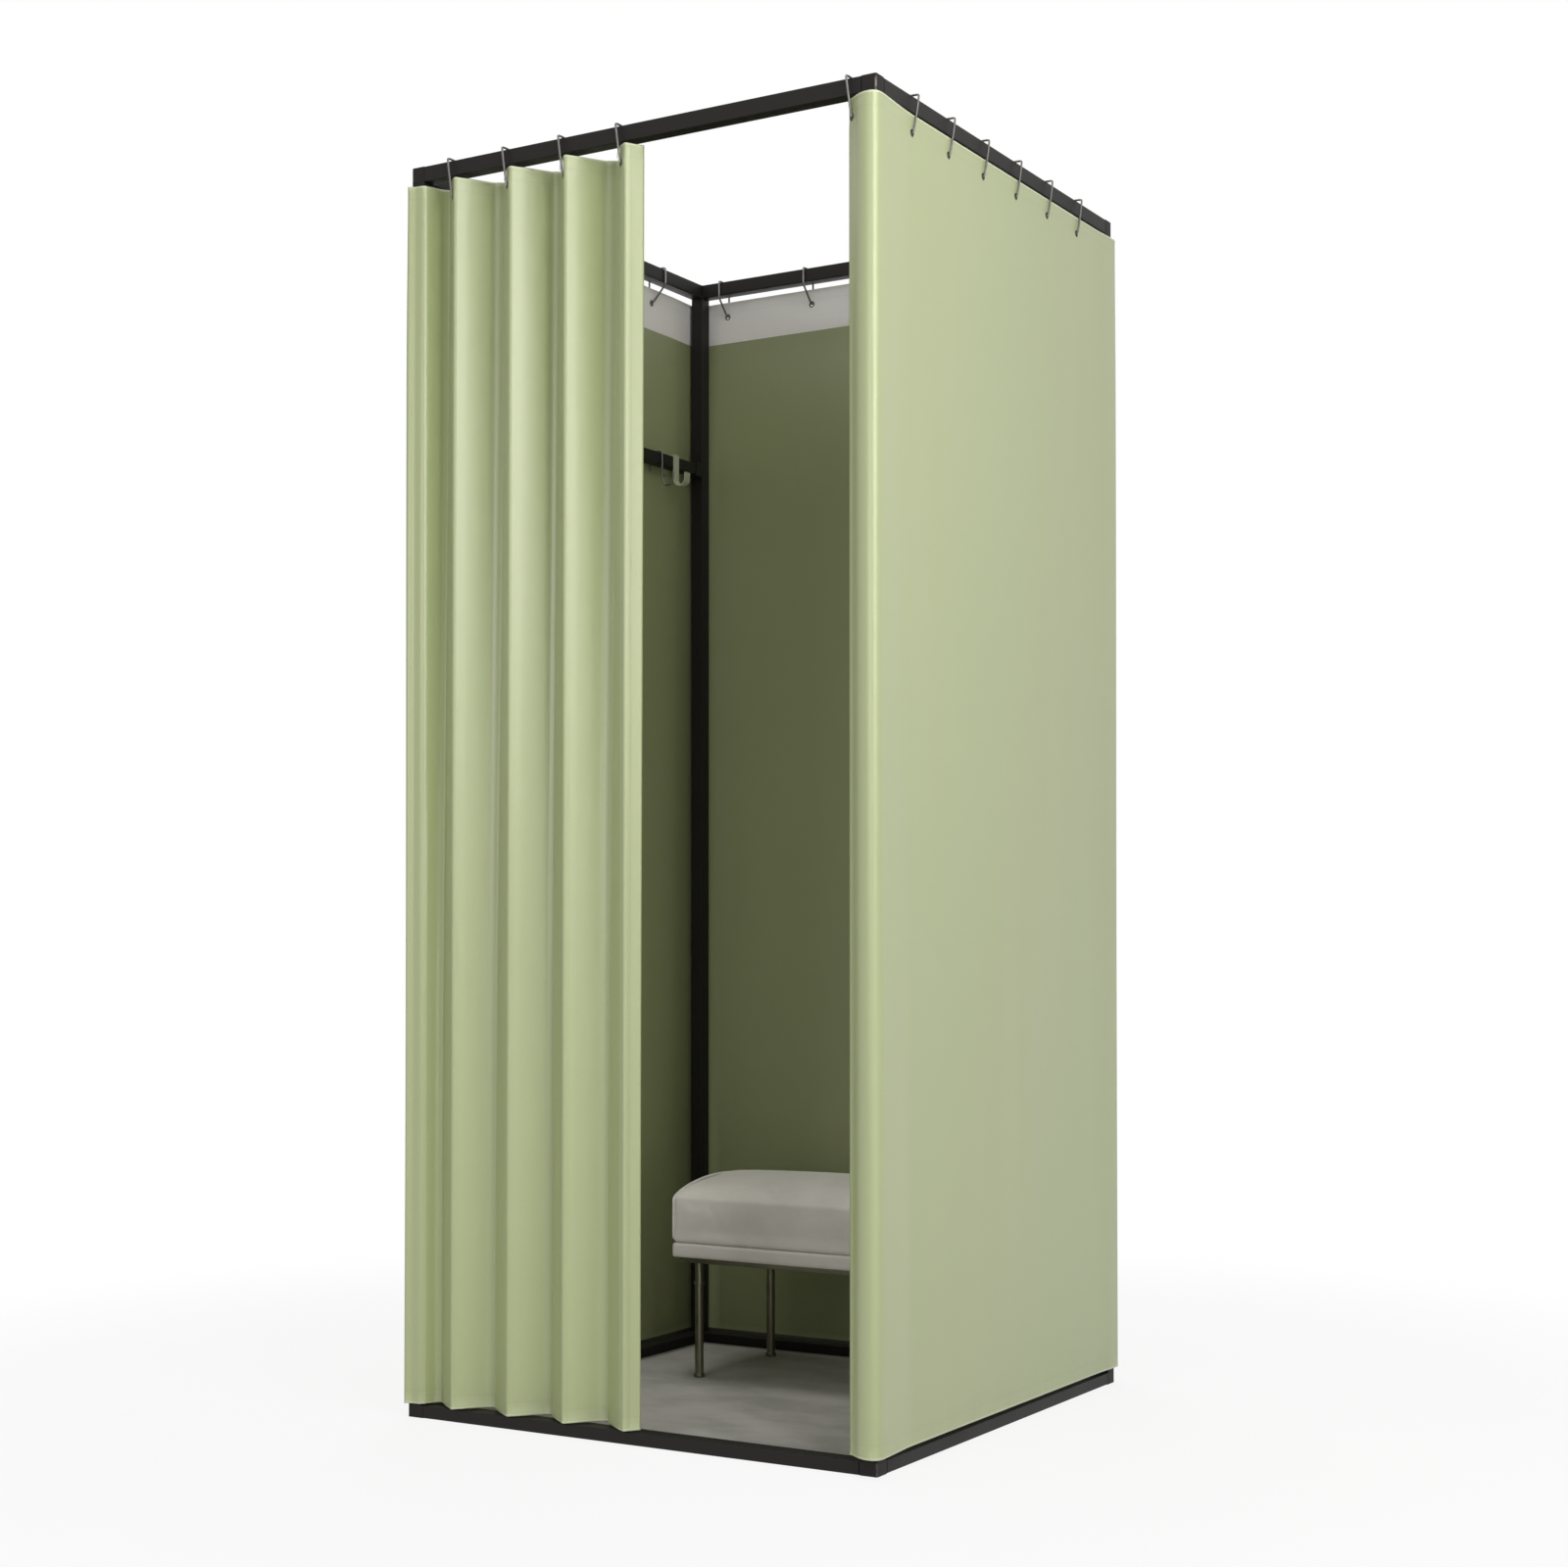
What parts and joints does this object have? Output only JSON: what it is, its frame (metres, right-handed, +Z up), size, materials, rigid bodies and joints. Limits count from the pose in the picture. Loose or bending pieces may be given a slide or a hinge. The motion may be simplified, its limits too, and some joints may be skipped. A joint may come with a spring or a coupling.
{
  "type": "portable fitting room",
  "caption": "Free-standing square fitting room: a tube frame hung with curtains on wire rings, a sliding pleated door curtain, a hanging rail with hooks, a floor mat and a bench.",
  "frame": {"origin": "floor level at the middle of the base ring", "axes": "+Z is up, the doorway faces -Y, and the hanging rail is on the -X side"},
  "size_m": [0.8751, 0.8838, 2.0043],
  "materials": {
    "powder_coat": "satin black-brown powder coat",
    "connector": "moulded, matt black-brown",
    "curtain_cloth": "smooth pale green blackout cloth",
    "ring_wire": "bright drawn wire",
    "floor_mat": "short grey pile",
    "strap": "pale grey-green paint",
    "upholstery": "pale grey woven upholstery",
    "leg_metal": "dark polished steel"
  },
  "bodies": {
    "frame": {"top_corner_connector_front_left": "connector", "top_corner_connector_front_right": "connector", "top_corner_connector_back_right": "connector", "top_corner_connector_back_left": "connector", "base_corner_connector_front_left": "connector", "base_corner_connector_front_right": "connector", "base_corner_connector_back_right": "connector", "base_corner_connector_back_left": "connector", "post_front_left": "powder_coat", "post_front_right": "powder_coat", "post_back_right": "powder_coat", "post_back_left": "powder_coat", "top_rail_front": "powder_coat", "top_rail_back": "powder_coat", "top_rail_left": "powder_coat", "top_rail_right": "powder_coat", "base_rail_front": "powder_coat", "base_rail_back": "powder_coat", "base_rail_left": "powder_coat", "base_rail_right": "powder_coat", "floor_mat": "floor_mat", "curtain_right_wall": "curtain_cloth", "curtain_back_wall": "curtain_cloth", "curtain_left_wall": "curtain_cloth", "doorway_edge_ring": "ring_wire", "right_wall_ring_1": "ring_wire", "right_wall_ring_2": "ring_wire", "right_wall_ring_3": "ring_wire", "right_wall_ring_4": "ring_wire", "right_wall_ring_5": "ring_wire", "right_wall_ring_6": "ring_wire", "back_wall_ring_1": "ring_wire", "back_wall_ring_2": "ring_wire", "back_wall_ring_3": "ring_wire", "back_wall_ring_4": "ring_wire", "back_wall_ring_5": "ring_wire", "left_wall_ring_1": "ring_wire", "left_wall_ring_2": "ring_wire", "left_wall_ring_3": "ring_wire", "left_wall_ring_4": "ring_wire", "hanging_rail": "powder_coat", "hanging_rail_socket_front": "connector", "hanging_rail_socket_back": "connector"},
    "door_ring_1": {"door_curtain_ring_1": "ring_wire", "door_curtain_pleat_1": "curtain_cloth"},
    "door_ring_2": {"door_curtain_ring_2": "ring_wire", "door_curtain_pleat_2": "curtain_cloth"},
    "door_ring_3": {"door_curtain_ring_3": "ring_wire", "door_curtain_pleat_3": "curtain_cloth"},
    "door_ring_4": {"door_curtain_ring_4": "ring_wire", "door_curtain_pleat_4": "curtain_cloth"},
    "strap_hook": {"rail_strap_hook": "strap"},
    "wire_hook": {"rail_wire_hook": "ring_wire"},
    "bench": {"bench_cushion": "upholstery", "bench_seat_board": "upholstery", "bench_rim": "leg_metal", "bench_leg_front_left": "leg_metal", "bench_leg_front_right": "leg_metal", "bench_leg_back_right": "leg_metal", "bench_leg_back_left": "leg_metal"}
  },
  "joints": [
    {"name": "door_ring_4_slide", "type": "slide", "parent": "frame", "child": "door_ring_4", "axis": [1, 0, 0], "range_m": [0, 0.354]},
    {"name": "door_ring_1_slide", "type": "slide", "parent": "frame", "child": "door_ring_1", "axis": [1, 0, 0], "range_m": [0, 0.055]},
    {"name": "door_ring_2_slide", "type": "slide", "parent": "frame", "child": "door_ring_2", "axis": [1, 0, 0], "range_m": [0, 0.155]},
    {"name": "door_ring_3_slide", "type": "slide", "parent": "frame", "child": "door_ring_3", "axis": [1, 0, 0], "range_m": [0, 0.255]},
    {"name": "strap_hook_slide", "type": "slide", "parent": "frame", "child": "strap_hook", "axis": [0, 1, 0], "range_m": [-0.03, 0.06]},
    {"name": "wire_hook_slide", "type": "slide", "parent": "frame", "child": "wire_hook", "axis": [0, 1, 0], "range_m": [-0.6, 0]},
    {"name": "bench_slide", "type": "slide", "parent": "frame", "child": "bench", "axis": [0, -1, 0], "range_m": [0, 0.35]}
  ],
  "couplings": [
    {"joint": "door_ring_1_slide", "follows": "door_ring_4_slide", "ratio": 0.15405},
    {"joint": "door_ring_2_slide", "follows": "door_ring_4_slide", "ratio": 0.43603},
    {"joint": "door_ring_3_slide", "follows": "door_ring_4_slide", "ratio": 0.71802}
  ]
}
